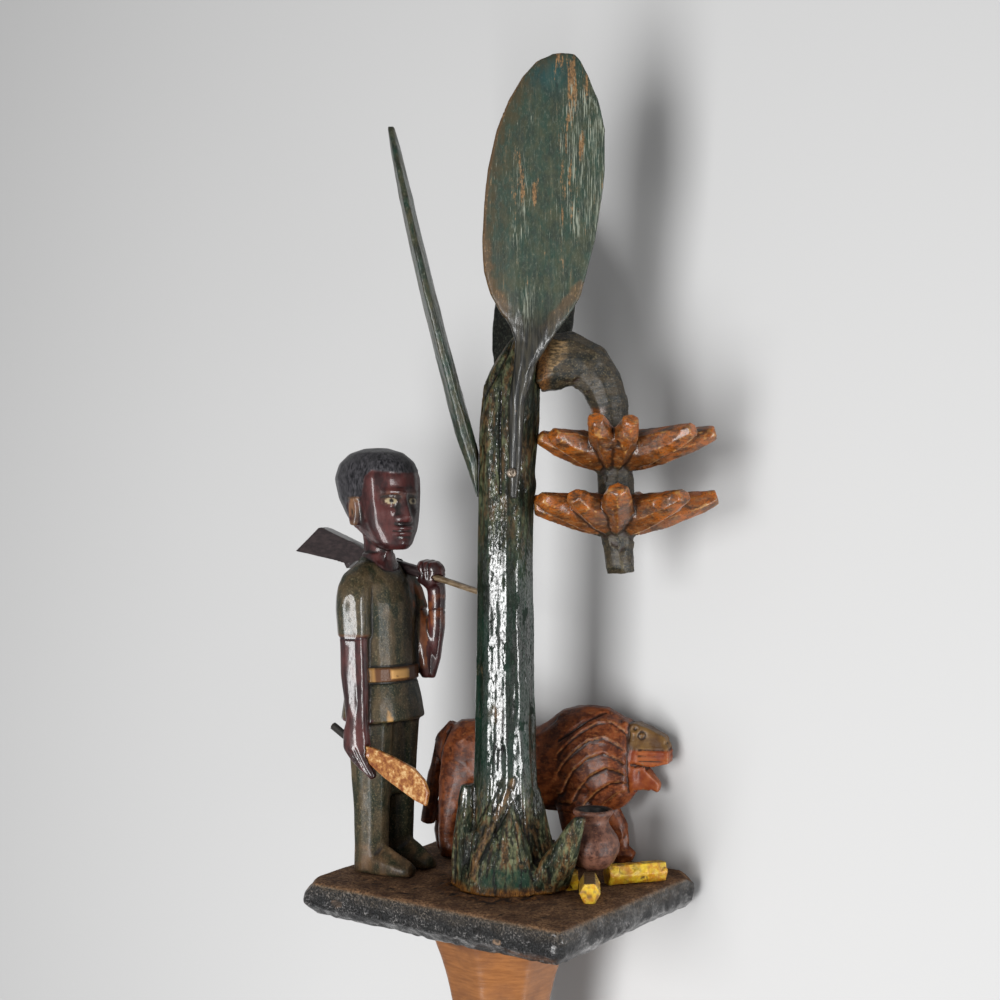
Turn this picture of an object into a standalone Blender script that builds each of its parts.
"""A carved and painted linguist staff, lying down.

Its finial is a hunter, a plantain tree and a lion on a platform, above a capital and an
octagonal shaft. The carving is modelled upright and in millimetres: x runs along the
platform's long side, the way the hunter faces, y runs across it and z runs up from the
platform's top. Each finished mesh is then in metres, and one empty lays the staff down on
the platform's side and the foot of the shaft.
"""

from itertools import product
from math import atan2, cos, pi, radians

import bmesh
import bpy
from mathutils import Matrix, Vector

for old in list(bpy.data.objects):
    bpy.data.objects.remove(old, do_unlink=True)

MM = 0.001
GAP = 0.35
FLAT_SPOT = 0.25
MERGE = 0.001
SHARPEST_OFFSET = 2

STAFF_LENGTH = 1520
FINIAL_HEIGHT = 375
PLATFORM_LONG = 144.5
PLATFORM_WIDE = 122
PLATFORM_SIDE = 11
PLATFORM_THICK = 16.5
PLATFORM_CORNER = 4
PLATFORM_CHAMFER = 6
PLATFORM_SHIFT = -2.4
SHAFT_AXIS = (-2.4, -1.7)
SHAFT_TURN = radians(15.7)
SHAFT_WIDTH = 32
FOOT_WIDTH = 27
TREE_PLACE = (8.8, -13.8)
TREE_TURN = radians(35.7)
TRUNK_RADIUS = 13.4
HUNTER_PLACE = (-60, -19)
HUNTER_HEIGHT = 201
HEAD_TURN = radians(-14)
LION_PLACE = (-12, 34)
LION_TURN = radians(17.5)
POT_PLACE = (43.8, 5.8)
POT_HEIGHT = 26.6
LOG_THICK = 8.6

FOOT_LEVEL = FINIAL_HEIGHT - STAFF_LENGTH


# ---------------------------------------------------------------- shaping tools


def at(x, y, z, across=1.0, deep=1.0, lean=0.0, turn=0.0):
    """Places the unit circle: its centre, its two half-widths, its lean to +x and its turn."""
    place = Matrix.Translation((x, y, z)) @ Matrix.Rotation(lean, 4, "Y")
    return place @ Matrix.Diagonal((across, deep, 1, 1)) @ Matrix.Rotation(turn, 4, "Z")


def along(points, sizes, side=(0, 1, 0)):
    """Sections square to a path; a size is a radius or half-widths off and along the side."""
    path = [Vector(point) for point in points]
    sections = []
    for index, point in enumerate(path):
        before = path[max(index - 1, 0)]
        after = path[min(index + 1, len(path) - 1)]
        ahead = (after - before).normalized()
        off = Vector(side).cross(ahead).normalized()
        aim = Matrix((off, ahead.cross(off), ahead)).transposed().to_4x4()
        size = sizes[index]
        tall, wide = size if isinstance(size, tuple) else (size, size)
        sections.append(Matrix.Translation(point) @ aim @ Matrix.Diagonal((tall, wide, 1, 1)))
    return sections


def loft(sections, sides=12, place=Matrix()):
    """A closed skin over a run of sections: a disc whose open rim is drawn to each in turn."""
    shell = bmesh.new()
    bmesh.ops.create_circle(
        shell, cap_ends=True, segments=sides, radius=1, matrix=sections[0]
    )
    for before, after in zip(sections, sections[1:]):
        rim = [edge for edge in shell.edges if edge.is_boundary]
        made = bmesh.ops.extrude_edge_only(shell, edges=rim)["geom"]
        moved = [item for item in made if isinstance(item, bmesh.types.BMVert)]
        bmesh.ops.transform(shell, verts=moved, matrix=after @ before.inverted())
    bmesh.ops.holes_fill(shell, edges=[edge for edge in shell.edges if edge.is_boundary])
    bmesh.ops.transform(shell, verts=shell.verts, matrix=place)
    bmesh.ops.recalc_face_normals(shell, faces=shell.faces)
    return shell


def turned(profile, sides, place):
    """A solid of revolution from (radius, height) points that start and end on the axis."""
    shell = bmesh.new()
    points = [shell.verts.new((radius, 0, height)) for radius, height in profile]
    edges = [shell.edges.new(pair) for pair in zip(points, points[1:])]
    bmesh.ops.spin(
        shell,
        geom=points + edges,
        axis=(0, 0, 1),
        cent=(0, 0, 0),
        steps=sides,
        angle=2 * pi,
        use_merge=True,
    )
    bmesh.ops.remove_doubles(shell, verts=shell.verts, dist=MERGE)
    bmesh.ops.transform(shell, verts=shell.verts, matrix=place)
    bmesh.ops.recalc_face_normals(shell, faces=shell.faces)
    return shell


def slab(outline, thick, place):
    """A flat board: an outline of (x, z) points, extruded to both sides of y = 0."""
    shell = bmesh.new()
    points = [shell.verts.new((x, -thick / 2, z)) for x, z in outline]
    face = shell.faces.new(points)
    made = bmesh.ops.extrude_face_region(shell, geom=[face], use_keep_orig=True)["geom"]
    moved = [item for item in made if isinstance(item, bmesh.types.BMVert)]
    bmesh.ops.translate(shell, verts=moved, vec=(0, thick, 0))
    bmesh.ops.transform(shell, verts=shell.verts, matrix=place)
    bmesh.ops.recalc_face_normals(shell, faces=shell.faces)
    return shell


def planed(shell, point, away):
    """Cuts a shell flat at a point, takes off what lies further away and closes the cut."""
    cut = bmesh.ops.bisect_plane(
        shell,
        geom=shell.verts[:] + shell.edges[:] + shell.faces[:],
        plane_co=point,
        plane_no=away,
        clear_outer=True,
    )["geom_cut"]
    rim = [item for item in cut if isinstance(item, bmesh.types.BMEdge)]
    bmesh.ops.holes_fill(shell, edges=rim)
    bmesh.ops.recalc_face_normals(shell, faces=shell.faces)
    return shell


def stood(shell):
    """Flattens the underside of what stands on the platform, one gap above it."""
    return planed(shell, (0, 0, GAP), (0, 0, -1))


def mesh_of(shell, name):
    """Hands a finished shell over to a mesh."""
    part = bpy.data.meshes.new(name)
    shell.to_mesh(part)
    shell.free()
    return part


def helper(shell):
    """An object that only cuts or joins others."""
    tool = bpy.data.objects.new("helper", mesh_of(shell, "helper"))
    tool.hide_render = True
    tool.display_type = "WIRE"
    bpy.context.scene.collection.objects.link(tool)
    return tool


def boolean(piece, tool, operation):
    """Works a Boolean into the piece's mesh and takes the tool away.

    EXACT tears the crowded fingers of fruit and the machete's fist; MANIFOLD keeps them whole.
    """
    modifier = piece.modifiers.new(operation, "BOOLEAN")
    modifier.object = tool
    modifier.operation = operation
    modifier.solver = "MANIFOLD"
    bpy.context.view_layer.update()
    graph = bpy.context.evaluated_depsgraph_get()
    finish = piece.active_material
    piece.data = bpy.data.meshes.new_from_object(piece.evaluated_get(graph))
    piece.data.materials.clear()
    piece.data.materials.append(finish)
    piece.modifiers.clear()
    bpy.data.objects.remove(tool, do_unlink=True)


def piece_of(name, shells, finish):
    """A named piece carved from one block: its shells joined, in one material."""
    piece = bpy.data.objects.new(name, mesh_of(shells[0], name))
    piece.data.materials.append(finish)
    bpy.context.scene.collection.objects.link(piece)
    for shell in shells[1:]:
        boolean(piece, helper(shell), "UNION")
    return piece


def make_room(piece, *neighbours):
    """Cuts the piece back from what it touches, by one gap, measured square to each face."""
    for neighbour in neighbours:
        grown = bmesh.new()
        grown.from_mesh(neighbour.data)
        bmesh.ops.remove_doubles(grown, verts=grown.verts, dist=10 * MERGE)
        grown.normal_update()
        for vert in grown.verts:
            vert.co += vert.normal * GAP * min(vert.calc_shell_factor(), SHARPEST_OFFSET)
        boolean(piece, helper(grown), "DIFFERENCE")


def finish_of(name, colour, roughness, metallic=0.0):
    """A plain paint or bare wood."""
    material = bpy.data.materials.new(name)
    material.use_nodes = True
    shader = material.node_tree.nodes["Principled BSDF"]
    shader.inputs["Base Color"].default_value = (*colour, 1)
    shader.inputs["Roughness"].default_value = roughness
    shader.inputs["Metallic"].default_value = metallic
    return material


# ---------------------------------------------------------------- paints and woods

PLATFORM_BLACK = finish_of("platform_black", (0.03, 0.026, 0.022), 0.5)
GILDED_WOOD = finish_of("gilded_wood", (0.33, 0.15, 0.05), 0.45, 0.25)
TRUNK_GREEN = finish_of("trunk_green", (0.025, 0.06, 0.04), 0.3)
LEAF_GREEN = finish_of("leaf_green", (0.05, 0.075, 0.06), 0.5)
SIDE_LEAF_GREEN = finish_of("side_leaf_green", (0.03, 0.06, 0.045), 0.35)
LEAF_BLACK = finish_of("leaf_black", (0.015, 0.017, 0.014), 0.5)
FRUIT_GOLD = finish_of("fruit_gold", (0.33, 0.13, 0.035), 0.35, 0.2)
HUNTER_PAINT = finish_of("hunter_paint", (0.07, 0.06, 0.035), 0.35)
RIFLE_PAINT = finish_of("rifle_paint", (0.045, 0.03, 0.03), 0.4)
MACHETE_GOLD = finish_of("machete_gold", (0.45, 0.22, 0.07), 0.4)
LION_BROWN = finish_of("lion_brown", (0.13, 0.04, 0.015), 0.3)
POT_RED = finish_of("pot_red", (0.09, 0.045, 0.035), 0.4)
LOG_YELLOW = finish_of("log_yellow", (0.5, 0.25, 0.04), 0.5)
IRON = finish_of("iron", (0.08, 0.06, 0.05), 0.4, 0.9)

# ---------------------------------------------------------------- how it lies

# The staff rests on the long side of its platform behind the lion, and on its foot.
REST_SIDE = PLATFORM_WIDE / 2 - FLAT_SPOT
REST_FOOT = SHAFT_AXIS[1] + FOOT_WIDTH / 2 - FLAT_SPOT
TILT = atan2(REST_SIDE - REST_FOOT, -PLATFORM_SIDE - FOOT_LEVEL)
LAY_DOWN = Matrix.Rotation(TILT - pi / 2, 4, "X")
FLOOR_POINT = Vector((0, REST_SIDE, -PLATFORM_SIDE))
FLOOR_NORMAL = LAY_DOWN.inverted().to_3x3() @ Vector((0, 0, -1))


def bedded(shell):
    """Planes off what would pass below the floor, which leaves a small flat spot."""
    return planed(shell, FLOOR_POINT, FLOOR_NORMAL)


# ---------------------------------------------------------------- shaft and platform

# The capital is an eight-sided flare cut on the shaft's head: its width at each level.
CAPITAL = [
    (-PLATFORM_THICK - GAP, 72), (-24, 63), (-33, 56.5), (-46, 49), (-60, 43.2), (-80, 37.5),
    (-110, 33.5),
]
PLANED_TAPER = [(-160, SHAFT_WIDTH), (-600, 30), (-1000, 28), (FOOT_LEVEL, FOOT_WIDTH)]

# An eight-sided section is measured across its flats.
EIGHT_SIDED = 0.5 / cos(pi / 8)


def octagon(level, width):
    """A level section of the shaft, from its width across the flats."""
    half = width * EIGHT_SIDED
    return at(*SHAFT_AXIS, level, half, half, turn=SHAFT_TURN)


shaft = piece_of(
    "staff_shaft",
    [bedded(loft([octagon(level, width) for level, width in CAPITAL + PLANED_TAPER], 8))],
    GILDED_WOOD,
)


board = bmesh.new()
middle = Matrix.Translation((PLATFORM_SHIFT, 0, -PLATFORM_SIDE / 2))
size = Matrix.Diagonal((PLATFORM_LONG, PLATFORM_WIDE, PLATFORM_SIDE, 1))
bmesh.ops.create_cube(board, size=1, matrix=middle @ size)
corners = [edge for edge in board.edges if abs(edge.verts[0].co.z - edge.verts[1].co.z) > 1]
bmesh.ops.bevel(
    board, geom=corners, offset=PLATFORM_CORNER, segments=3, profile=0.5, affect="EDGES", material=-1
)
# Its undercut lower edge: the round corners run down to a smaller board with square ones.
for side_x, side_y in product((-1, 1), repeat=2):
    half_long = PLATFORM_LONG / 2 - PLATFORM_CHAMFER
    half_wide = PLATFORM_WIDE / 2 - PLATFORM_CHAMFER
    board.verts.new((PLATFORM_SHIFT + side_x * half_long, side_y * half_wide, -PLATFORM_THICK))
bmesh.ops.delete(board, geom=board.edges[:] + board.faces[:], context="EDGES_FACES")
bmesh.ops.convex_hull(board, input=board.verts)
bmesh.ops.dissolve_limit(board, angle_limit=radians(0.5), verts=board.verts, edges=board.edges)
top = max(board.faces, key=lambda face: face.calc_center_median().z)
bmesh.ops.bevel(
    board, geom=top.edges[:], offset=1.2, segments=1, profile=0.5, affect="EDGES", material=-1
)
# Two of its corners, at opposite ends, are worn: one rubbed off on top, one blunted as well.
board = planed(board, (-76.7, -55.1, -6), (-0.574, -0.413, 0.707))
board = planed(board, (71.4, 51.3, -4), (0.812, 0.5835, 0))
board = planed(board, (71.4, 51.3, -4), (0.487, 0.35, 0.8))
platform = piece_of("platform", [bedded(board)], PLATFORM_BLACK)

# ---------------------------------------------------------------- plantain tree

# The tree has a frame of its own on the platform: x runs across its front leaf.
TREE = Matrix.Translation((*TREE_PLACE, 0)) @ Matrix.Rotation(TREE_TURN, 4, "Z")

# Trunk: (level, half-width, shift to the right) from the root swell to the split crown.
TRUNK = [
    (GAP, 25, 1.8),
    (7, 24, 1.6),
    (15, 19.5, 1),
    (28, 16, 0.5),
    (48, 14.6, 0.3),
    (90, TRUNK_RADIUS, 0),
    (150, 12.8, 0),
    (185, 13, 0.6),
    (212, 13.8, 2.2),
    (228, 12.8, 3.5),
    (239, 10.2, 6),
    (247, 7.4, 8.5),
    (251, 4.5, 10),
]
trunk_shells = [loft([at(x, 0, z, r, r * 0.95) for z, r, x in TRUNK], 14, TREE)]


def sucker(foot, middle, tip, turn):
    """A young leaf at the root: (x, y, z, half-width, half-depth) low, halfway and at its tip."""
    spine = [foot, middle, tip]
    sections = [at(x, y, z, wide, deep, turn=pi / 8) for x, y, z, wide, deep in spine]
    return loft(sections, 8, TREE @ Matrix.Rotation(turn, 4, "Z"))


SUCKERS = [
    ((-16, -1, 1, 8, 9), (-18, -1, 22, 6, 7.5), (-17, -1, 46, 3.4, 3.6), 0),
    ((16, -11, 1, 12, 9), (24.6, -18.4, 17, 8, 5.4), (33, -23, 35.5, 2.8, 2.2), 0),
    ((2, -15.5, 1, 13, 8), (2.4, -14.8, 17, 10.5, 5.2), (2, -14.4, 40.5, 1.2, 1.6), 0),
    ((-7, -13, 1, 10, 8), (-7, -12.5, 22, 9, 4.4), (0.4, -11.8, 51, 2, 2.4), 0),
    ((16, -4, 1, 9, 9), (15.5, -3, 16, 7, 7.5), (13, -2, 44, 3, 4), 0),
    ((-1, 14, 1, 14, 9), (0, 15, 18, 10, 5), (1, 15, 42, 1.6, 2), 0),
    ((0, 17, 1, 10, 7), (1, 20, 10, 7, 4.5), (2, 24, 19, 1.8, 2), radians(-62)),
]
trunk_shells += [sucker(*row) for row in SUCKERS]
trunk = piece_of("plantain_trunk", trunk_shells, TRUNK_GREEN)


def leaf(name, rows, finish, place=TREE, sides=8):
    """A leaf whittled to a flat lens: rows of (x, y, z, half-width, half-thickness), foot first."""
    sections = [at(x, y, z, wide, thick, turn=pi / sides) for x, y, z, wide, thick in rows]
    return piece_of(name, [loft(sections, sides, place)], finish)


# The stalk of the front leaf is nailed down the trunk's face.
front_leaf = leaf(
    "front_leaf",
    [
        (3.6, -14.2, 176, 1.6, 1.2),
        (4.2, -14.6, 190, 2.9, 2.6),
        (5.2, -15.4, 219, 4.2, 3.6),
        (9, -15.8, 236, 5.4, 4),
        (12.4, -15.8, 246, 8.4, 4),
        (13.6, -15.6, 253.8, 13, 3.8),
        (13.7, -15.5, 260.3, 17.8, 3.5),
        (13.5, -15.4, 267, 21.8, 3.4),
        (13.4, -15.2, 277, 24.8, 3.2),
        (15, -15, 291, 27, 3.1),
        (16.4, -14.6, 305, 27.9, 3),
        (18.4, -14.2, 323, 28.4, 2.9),
        (20.3, -13.9, 340, 26.2, 2.7),
        (21.6, -13.6, 354, 21.8, 2.5),
        (22.4, -13.4, 364.6, 16, 2.2),
        (24, -13.3, 371.6, 10.4, 1.8),
        (26.4, -13.2, FINIAL_HEIGHT, 5, 1.4),
    ],
    LEAF_GREEN,
)

# The side leaf leans out to the left, its broad faces looking left and right.
side_leaf = leaf(
    "side_leaf",
    [
        (-12, 0, 177, 1, 4),
        (-14.2, 0, 192, 3.6, 6),
        (-18.6, 0, 206, 4.6, 7.5),
        (-22.4, 0, 220, 4.2, 12),
        (-27.6, 0, 240, 4, 19),
        (-33.4, 0, 263, 3.8, 22.5),
        (-39.2, 0, 287, 3.6, 21.5),
        (-44.8, 0, 312, 3.2, 16.5),
        (-49.4, 0, 333, 2.6, 8.5),
        (-52.1, 0, 346, 1.6, 1.4),
    ],
    SIDE_LEAF_GREEN,
)

# The back leaf leans away behind the front one.
back_leaf = leaf(
    "back_leaf",
    [
        (7, 6, 226, 6, 3),
        (8, 9, 236, 13.5, 3.2),
        (11, 14, 246, 18.5, 3.2),
        (13, 19.5, 257, 20.6, 3.1),
        (15, 30, 275, 20.4, 3),
        (17, 42, 295, 17, 2.8),
        (18.6, 53, 313, 11, 2.4),
        (19.6, 60.5, 325, 4.4, 1.8),
        (20, 63.5, 330, 1.2, 1.2),
    ],
    LEAF_BLACK,
)

# The fruit stalk arches out of the crown and hangs down through both hands of fruit.
STALK = [
    (10, -1, 234.5),
    (20, -1, 238),
    (30, -1, 239.8),
    (38.4, -1, 236.2),
    (44, -1, 228.4),
    (47.2, -1, 219.4),
    (48.4, -1, 209),
    (49.6, -1, 194),
    (50.8, -1, 172),
    (51.6, -1, 152),
    (52.6, -1, 142.6),
]
STALK_SIZES = [
    (10, 9), (13.4, 10), (13, 10), (11.4, 9.6), (10, 9), (8.8, 8.6), (8.4, 8.2), (8.4, 8.2),
    (8.4, 8), (6.8, 6.8), (6, 6),
]
stalk = loft(along(STALK, STALK_SIZES), 10)
# Its lower end is cut off at a slant, and its upper end is cut flat where it leaves the crown.
stalk = planed(stalk, (50, -6, 144.6), (-0.36, -0.56, -0.75))
stalk = planed(stalk, (24, -10, 238), (-0.34, -0.92, 0.2))
bmesh.ops.transform(stalk, matrix=TREE, verts=stalk.verts)
stalk_shells = [stalk]


def finger(centre, turn, reach, lift, wide):
    """One blunt fruit of a hand: deep at the stalk, and a small square end at its reach."""
    spine = [(2, 0), (0.45 * reach, 0.28 * lift), (0.8 * reach, 0.68 * lift), (reach, lift)]
    sizes = [(10.4, 0.45 * wide), (8.2, 0.5 * wide), (5.6, 0.42 * wide), (3.4, 0.28 * wide)]
    sections = [
        section @ Matrix.Rotation(pi / 6, 4, "Z")
        for section in along([(out, 0, up) for out, up in spine], sizes)
    ]
    place = Matrix.Translation(centre) @ Matrix.Rotation(radians(turn), 4, "Z")
    return loft(sections, 6, TREE @ place)


# Each hand of fruit: its centre on the stalk, and its fingers' (turn, reach, lift, width).
UPPER_HAND = (49.2, -1, 197)
UPPER_FRUIT = [
    (-10, 46, 9, 13), (-40, 43, 9, 13), (-79, 30, 13, 13), (-109, 30, 14, 13), (-144, 35, 7, 14),
    (-172, 34, 7, 12), (152, 34, 8, 13), (112, 34, 9, 13), (70, 34, 9, 13), (30, 38, 9, 13),
]
LOWER_HAND = (51, -1, 168)
LOWER_FRUIT = [
    (-8, 45, 9, 13), (-48, 40, 9, 14.5), (-94, 31, 12, 15.5), (-129, 34, 9, 14), (-153, 40, 8, 13),
    (178, 42, 7, 11), (140, 36, 8, 13), (102, 34, 9, 13), (66, 34, 9, 13), (29, 38, 9, 13),
]
for centre, fruit in ((UPPER_HAND, UPPER_FRUIT), (LOWER_HAND, LOWER_FRUIT)):
    stalk_shells += [finger(centre, *row) for row in fruit]
fruit_stalk = piece_of("fruit_stalk", stalk_shells, FRUIT_GOLD)

make_room(front_leaf, trunk)
make_room(side_leaf, trunk)
make_room(fruit_stalk, trunk, front_leaf)
make_room(back_leaf, trunk, fruit_stalk, front_leaf)

# One round-headed nail holds the foot of the front leaf's stalk against the trunk.
NAIL = [(0, -1.6), (1.2, -1.6), (2.2, -0.9), (2.4, 0), (0, 0)]
nail_place = TREE @ Matrix.Translation((2.8, -17.6, 187.4)) @ Matrix.Rotation(-pi / 2, 4, "X")
leaf_nail = piece_of("leaf_nail", [turned(NAIL, 12, nail_place)], IRON)

# ---------------------------------------------------------------- hunter

HUNTER = Matrix.Translation((*HUNTER_PLACE, 0))

TORSO = [
    (71.5, 0.6, 17.2, 24),
    (80, 0.4, 16, 22.6),
    (89.5, 0.2, 14.2, 20.2),
    (97, 0, 13.8, 19.6),
    (112, -0.4, 13.6, 19.6),
    (127, -1, 14, 20.6),
    (137, -1.8, 12.2, 20),
    (143.5, -2.8, 9.2, 16.4),
    (147.6, -3, 8.4, 9.4),
    (152, -2.6, 8, 7.4),
    (164, -2.8, 8.4, 7.8),
]
hunter_shells = [loft([at(x, 0, z, deep, wide) for z, x, deep, wide in TORSO], 16, HUNTER)]

# He looks a little to his right. Each level of his head: its height, middle and half-widths.
NECK = Vector((-3, 0, 0))
HUNTER_HEAD = HUNTER @ Matrix.Translation(NECK) @ Matrix.Rotation(HEAD_TURN, 4, "Z")
HEAD = [
    (152.6, 15.3, 5.6, 5),
    (155.4, 12, 11, 9),
    (162, 6.8, 16.6, 12.6),
    (169, 3.2, 20, 14.4),
    (177, 0, 23.2, 15.8),
    (187, -2, 24.2, 16.8),
    (194, -2, 21.6, 15),
    (198.6, -1.5, 15.8, 11.2),
    (HUNTER_HEIGHT, -1, 6.8, 5.2),
]
hunter_shells.append(loft([at(x, 0, z, deep, wide) for z, x, deep, wide in HEAD], 16, HUNTER_HEAD))


def limb(points, sizes, sides=10):
    """An arm, leg or shoe: half-widths fore and aft, then sideways, at points of its path."""
    return stood(loft(along(points, sizes), sides, HUNTER))


# An ear: the half-width fore and aft at each level, and the half-thickness of all of it.
EAR = [(164, 2.4), (168, 3.6), (175, 3.8), (177, 2.6)]
EAR_HALF = 2.4

# A shoe from heel to toe, with upright sides and a ridge over the foot: (ahead, aside), then
# its height and half-width.
SHOE = [(-4, 10.2), (6, 10.2), (12, 10.2), (18, 9.6), (23.2, 8.6), (25.2, 8.4)]
SHOE_SIZES = [(11, 6), (15, 7.6), (13, 7.6), (10, 6.8), (7.4, 5.4), (6.2, 4)]

# Each leg and shoe, on its side of him, with the step it takes ahead of the other.
for side, stride in ((-1, 0.4), (1, -1.4)):
    leg = [(0.4, side * 10, 76), (0.8, side * 9.8, 54), (1.4 + stride * 0.3, side * 9.6, 30)]
    leg += [(1.4 + stride * 0.6, side * 9.8, 12), (1.2 + stride, side * 10, GAP)]
    hunter_shells.append(limb(leg, [(12.6, 11), (10.8, 9.2), (9.2, 8.4), (8.8, 8), (9, 8)]))
    shoe = along([(x + stride, side * y, GAP) for x, y in SHOE], SHOE_SIZES)
    shoe = [section @ Matrix.Rotation(pi / 6, 4, "Z") for section in shoe]
    hunter_shells.append(stood(loft(shoe, 6, HUNTER)))
    ear = [at(2, side * 15.2, z, deep, EAR_HALF) for z, deep in EAR]
    hunter_shells.append(loft(ear, 8, HUNTER_HEAD))

# His right arm hangs with the machete, his left is folded up to the rifle on his shoulder.
RIGHT_SLEEVE = [
    (112, 0.2, -20.8, 8.4, 7),
    (124, -0.6, -20.8, 8.8, 7.2),
    (131, -1, -20, 8.8, 7.5),
    (135.6, -1.4, -18.4, 8.6, 7.5),
    (140.8, -2.2, -15.4, 7.6, 6.8),
    (145.2, -2.6, -11, 4.8, 4.6),
    (147, -2.8, -8.8, 3, 3),
]
RIGHT_ARM = [(0.4, -21.4, 115), (1.6, -22.2, 96), (4, -23.4, 82), (5, -24, 72)]
RIGHT_HAND = [
    (5.2, -24, 75), (5, -24.6, 68), (5.4, -24.8, 62), (8.6, -24.8, 56.8), (12.6, -24.6, 51.6),
    (15.8, -24.4, 47.2),
]
LEFT_SLEEVE = [(-2.4, 10, 145.4), (-1.6, 15, 139.4), (1, 18, 131), (3.4, 19, 122)]
LEFT_UPPER_ARM = [(3, 19, 124), (5.8, 19, 113), (9.2, 19, 104), (10.6, 19.4, 97), (12, 20.4, 90)]
LEFT_FOREARM = [(12.6, 21.4, 89.6), (14, 22.2, 100), (16.6, 21, 116), (19, 18, 131), (19.4, 16.2, 138)]
LEFT_FIST = [(19.8, 16, 135.6), (18.4, 14.8, 139.4), (17.8, 13.6, 144.2), (18, 13.2, 147.4)]
hunter_shells += [
    loft([at(x, y, z, deep, wide) for z, x, y, deep, wide in RIGHT_SLEEVE], 12, HUNTER),
    limb(RIGHT_ARM, [(7, 6.4), (7.2, 6.2), (6.2, 5.6), (5.6, 5)]),
    limb(RIGHT_HAND, [(5.2, 4.8), (6.8, 5.8), (7.4, 6), (5.4, 5), (3.2, 3.6), (1.6, 1.8)]),
    limb(LEFT_SLEEVE, [(5.6, 5.6), (7.4, 6.2), (8.4, 7.2), (8.6, 7.2)]),
    limb(LEFT_UPPER_ARM, [(7.6, 6.4), (7.4, 6.2), (7.2, 6), (5.8, 5), (3, 3)]),
    limb(LEFT_FOREARM, [(2.4, 2.4), (3.6, 3.8), (4.4, 4.4), (4.6, 4.6), (4.8, 4.8)]),
    limb(LEFT_FIST, [(5, 4.8), (8.6, 5.8), (8.4, 5.6), (5.4, 3.8)]),
]
# His trousers are one piece of wood down to the knee.
hunter_shells.append(limb([(0.6, 0, 76), (0.6, 0, 36)], [(9.4, 6), (8.2, 5)]))
hunter = piece_of("hunter", hunter_shells, HUNTER_PAINT)

# The rifle runs level with the way he faces, behind his neck and through his left fist.
RIFLE_SIDE = 12.5
FORE_END = [(-28, RIFLE_SIDE, 150.4), (0, RIFLE_SIDE, 144.4), (17, RIFLE_SIDE, 140.8)]
BARREL = [(15, RIFLE_SIDE, 141.2), (54, RIFLE_SIDE, 131.6)]
STOCK = [
    (-66.6, 151), (-50.5, 163), (-47, 162.6), (-24, 154.4), (-18, 151), (-18, 146),
    (-25, 146.6), (-31.6, 142.6), (-33, 145.6),
]
fore_end = limb(FORE_END, [(2.6, 2.8), (3, 2.6), (2.8, 2.4)], 8)
barrel = limb(BARREL, [(1.6, 1.7), (1.5, 1.5)], 8)
stock = slab(STOCK, 7, HUNTER @ Matrix.Translation((0, RIFLE_SIDE, 0)))
rifle = piece_of("rifle", [stock, fore_end, barrel], RIFLE_PAINT)

# The machete slopes down and forward from his right fist.
MACHETE_SIDE = -24.8
HILT = [(-9.4, MACHETE_SIDE, 69.8), (13, MACHETE_SIDE, 57.6)]
BLADE = [
    (9, 62.4), (16, 61.6), (27, 58.8), (40, 54.6), (45.8, 50), (48.4, 44.6), (47, 38.4),
    (40.8, 40.2), (32.4, 44), (23, 48.4), (14.6, 53.4), (8.6, 57.6),
]
hilt = limb(HILT, [(2, 1.8), (1.9, 1.7)], 8)
blade = slab(BLADE, 2, HUNTER @ Matrix.Translation((0, MACHETE_SIDE, 0)))
machete = piece_of("machete", [blade, hilt], MACHETE_GOLD)
make_room(hunter, rifle, machete)

# ---------------------------------------------------------------- lion

LION = Matrix.Translation((*LION_PLACE, 0)) @ Matrix.Rotation(LION_TURN, 4, "Z")


def beast(points, sizes, sides=10):
    """A part of the lion: half-widths up and down, then sideways, at points of its path."""
    return stood(loft(along(points, sizes), sides, LION))


# The body from tail to the face: (distance, top, belly, half-width).
BODY = [
    (-44.5, 54, 44, 5),
    (-41, 61, 38, 8.4),
    (-34, 67.4, 33, 11),
    (-24, 69.2, 30, 11.8),
    (-8, 66.6, 27.4, 11.6),
    (5, 65.6, 25.4, 11.8),
    (15, 69, 23.6, 13),
    (25, 75.4, 23, 14.2),
    (35, 78, 24, 14.6),
    (45, 77, 28, 13.8),
    (51, 73.4, 33.6, 11.8),
    (55.6, 68.6, 40, 9),
]
body = [((x, 0, (top + belly) / 2), ((top - belly) / 2, wide)) for x, top, belly, wide in BODY]
UPPER_JAW = [(47, 0, 58), (57, 0, 58.4), (64, 0, 57.2), (69, 0, 56.2), (71.2, 0, 55.8)]
LOWER_JAW = [(48, 0, 46), (56, 0, 42.6), (62, 0, 39.4), (66, 0, 38)]
TAIL = [(-38, 0, 65), (-43.4, 0, 58), (-46.6, 0, 48), (-49.6, 0, 33), (-52.4, 0, 14.6)]
lion_shells = [
    beast([point for point, size in body], [size for point, size in body], 14),
    beast(UPPER_JAW, [(11.4, 9.4), (9.6, 8), (7.8, 6.8), (6.6, 5.8), (4.6, 4.6)]),
    beast(LOWER_JAW, [(8, 7.4), (4.6, 5.8), (3.2, 4.6), (2, 3)], 8),
    beast(TAIL, [(3, 4), (4, 4.6), (3.2, 4.4), (3.6, 4.6), (3.8, 4.6)], 8),
]
LEG_SIZES = [(13, 5.6), (9, 5.4), (5.4, 4.6), (4.6, 4.2), (5, 4.4)]

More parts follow.
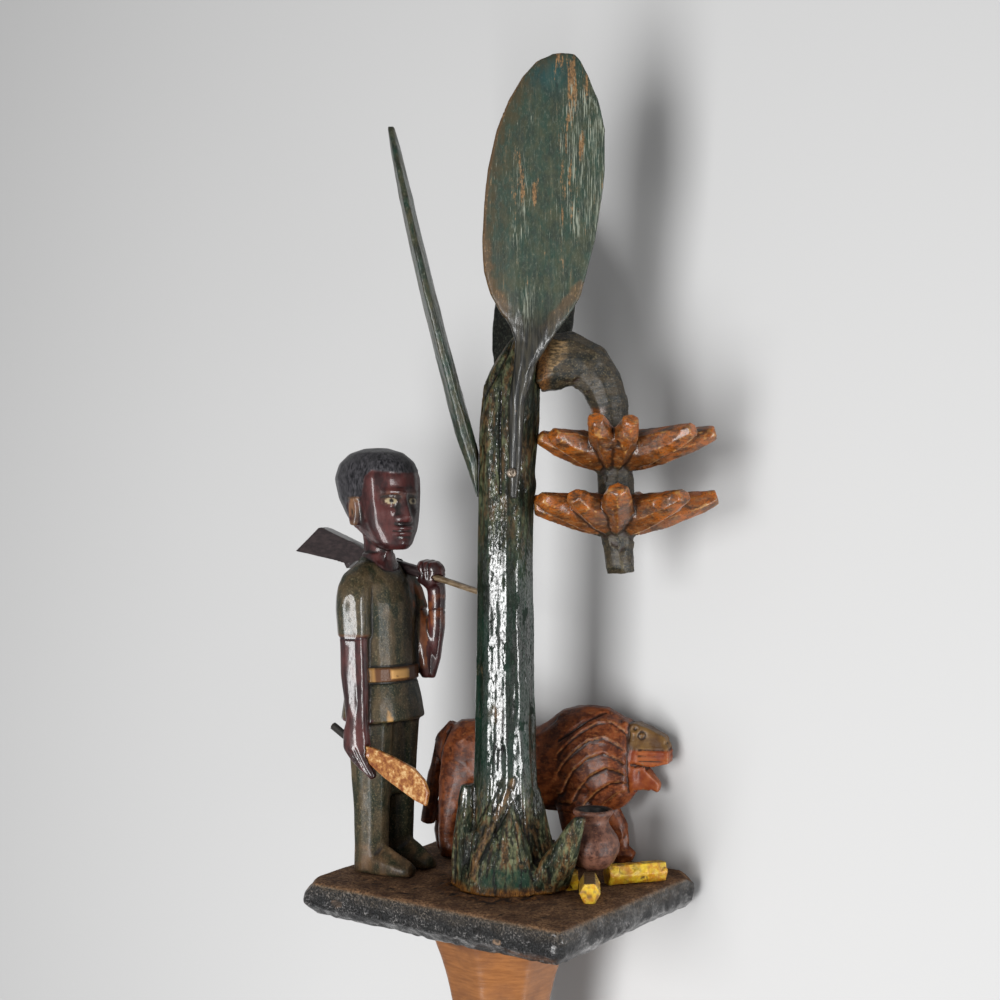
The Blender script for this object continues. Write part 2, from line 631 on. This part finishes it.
# He walks: on each side, how far along him the hind and the fore foot stand.
for side, hind, fore in ((-1, -36, 26), (1, -44, 44)):
    knee = (fore + 26) / 2
    hind_leg = [(-31, side * 6, 46), (-35, side * 7, 34), (hind - 2, side * 7.6, 20)]
    hind_leg += [(hind - 3, side * 8, 10), (hind - 1, side * 8, GAP)]
    fore_leg = [(27, side * 6.6, 40), (knee, side * 7.4, 28), (fore, side * 8, 16)]
    fore_leg += [(fore + 1, side * 8.2, 8), (fore + 2, side * 8.2, GAP)]
    lion_shells.append(beast(hind_leg, LEG_SIZES))
    lion_shells.append(beast(fore_leg, LEG_SIZES))
    for heel in (hind, fore):
        paw = [(heel - 2, side * 8.2, 4.4), (heel + 5, side * 8.4, 4.2), (heel + 8, side * 8.4, 3)]
        lion_shells.append(beast(paw, [(4, 4.6), (3.8, 5), (2.4, 3.6)], 8))
lion = piece_of("lion", lion_shells, LION_BROWN)

# ---------------------------------------------------------------- pot and firewood

# The pot's wall, down its outside and up its inside: (radius, height above its foot).
POT = [
    (0, 0), (6.5, 0), (9.6, 3), (11.8, 7.4), (12.2, 10.4), (11.2, 14), (8.4, 18), (7, 20.4),
    (7.4, 22.4), (9.2, 24.6), (9.2, 26), (8.4, POT_HEIGHT), (6.9, POT_HEIGHT - 0.6), (5.4, 22),
    (5.2, 20), (6.6, 17.4), (9.2, 13.6), (10, 10.4), (9.4, 7.8), (7.4, 4.4), (4.6, 2.8), (0, 2.8),
]
POT_FOOT = LOG_THICK + 2 * GAP
pot_place = Matrix.Translation((*POT_PLACE, POT_FOOT))
pot = piece_of("pot", [turned(POT, 24, pot_place)], POT_RED)


def log(name, near, far, thick):
    """A split billet lying on the platform, from its near end to its far one."""
    level = LOG_THICK / 2 + GAP
    points = [(*near, level), (*far, level)]
    half = LOG_THICK / 2 / cos(pi / 6)
    sections = along(points, [(thick / 2, half), (thick / 2, half)], side=(0, 0, 1))
    turn = Matrix.Rotation(pi / 6, 4, "Z")
    return piece_of(name, [loft([section @ turn for section in sections], 6)], LOG_YELLOW)


log_front = log("log_front", (57.9, -19.5), (46.5, -1.5), 9.4)
log_right = log("log_right", (46.3, 13.1), (63.3, 36.3), 9)
log_left = log("log_left", (33, -10), (40, -2), 8)
make_room(log_left, trunk)

# ---------------------------------------------------------------- laid down

laid_down = bpy.data.objects.new("laid_down", None)
bpy.context.scene.collection.objects.link(laid_down)
laid_down.matrix_world = LAY_DOWN
lowest = Vector((9, 9, 9))
highest = -lowest
for piece in [item for item in bpy.data.objects if item.type == "MESH"]:
    piece.data.transform(Matrix.Scale(MM, 4))
    piece.parent = laid_down
    for vert in piece.data.vertices:
        place = LAY_DOWN @ vert.co
        lowest = Vector(map(min, lowest, place))
        highest = Vector(map(max, highest, place))
middle = (lowest + highest) / 2
laid_down.location = (-middle.x, -middle.y, -lowest.z)
